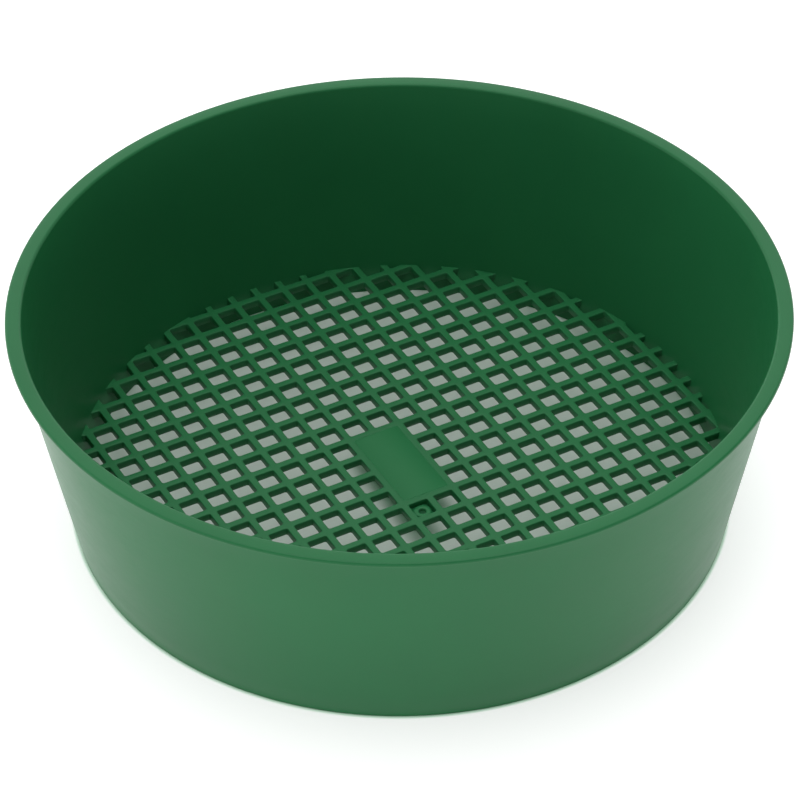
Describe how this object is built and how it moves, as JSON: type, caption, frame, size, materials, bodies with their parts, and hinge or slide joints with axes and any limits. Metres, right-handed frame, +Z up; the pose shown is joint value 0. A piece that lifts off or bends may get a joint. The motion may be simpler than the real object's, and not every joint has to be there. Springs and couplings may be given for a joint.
{
  "type": "soil sieve",
  "caption": "Round garden riddle: a tapered open drum with a flat outward lip, a square-cell moulded mesh floor and a blank plate in its middle.",
  "frame": {"origin": "centre of the foot ring's underside, on the ground the sieve stands on", "axes": "+Z up, from the foot to the mouth, along the drum's axis; +Y along the long side of the blank plate and the long ribs; +X along the cross ribs"},
  "size_m": [0.37, 0.37, 0.1164],
  "materials": {
    "rim_plastic": "satin moulded polypropylene",
    "wall_plastic": "satin moulded polypropylene",
    "foot_plastic": "satin moulded polypropylene",
    "mesh_plastic": "satin moulded polypropylene",
    "plate_plastic": "satin moulded polypropylene",
    "gate_plastic": "satin moulded polypropylene"
  },
  "bodies": {
    "root": {"cross_rib_01": "mesh_plastic", "cross_rib_02": "mesh_plastic", "cross_rib_03": "mesh_plastic", "cross_rib_04": "mesh_plastic", "cross_rib_05": "mesh_plastic", "cross_rib_06": "mesh_plastic", "cross_rib_07": "mesh_plastic", "cross_rib_08": "mesh_plastic", "cross_rib_09": "mesh_plastic", "cross_rib_10": "mesh_plastic", "cross_rib_11_left": "mesh_plastic", "cross_rib_11_right": "mesh_plastic", "cross_rib_12_left": "mesh_plastic", "cross_rib_12_right": "mesh_plastic", "cross_rib_13_left": "mesh_plastic", "cross_rib_13_right": "mesh_plastic", "cross_rib_14": "mesh_plastic", "cross_rib_15": "mesh_plastic", "cross_rib_16": "mesh_plastic", "cross_rib_17": "mesh_plastic", "cross_rib_18": "mesh_plastic", "cross_rib_19": "mesh_plastic", "cross_rib_20": "mesh_plastic", "cross_rib_21": "mesh_plastic", "cross_rib_22": "mesh_plastic", "cross_rib_23": "mesh_plastic", "drum_wall": "wall_plastic", "foot_ring": "foot_plastic", "gate_ring": "gate_plastic", "label_plate": "plate_plastic", "long_rib_01": "mesh_plastic", "long_rib_02": "mesh_plastic", "long_rib_03": "mesh_plastic", "long_rib_04": "mesh_plastic", "long_rib_05": "mesh_plastic", "long_rib_06": "mesh_plastic", "long_rib_07": "mesh_plastic", "long_rib_08": "mesh_plastic", "long_rib_09": "mesh_plastic", "long_rib_10": "mesh_plastic", "long_rib_11": "mesh_plastic", "long_rib_12_back": "mesh_plastic", "long_rib_12_front": "mesh_plastic", "long_rib_13": "mesh_plastic", "long_rib_14": "mesh_plastic", "long_rib_15": "mesh_plastic", "long_rib_16": "mesh_plastic", "long_rib_17": "mesh_plastic", "long_rib_18": "mesh_plastic", "long_rib_19": "mesh_plastic", "long_rib_20": "mesh_plastic", "long_rib_21": "mesh_plastic", "long_rib_22": "mesh_plastic", "long_rib_23": "mesh_plastic", "rim_lip": "rim_plastic"}
  },
  "joints": []
}
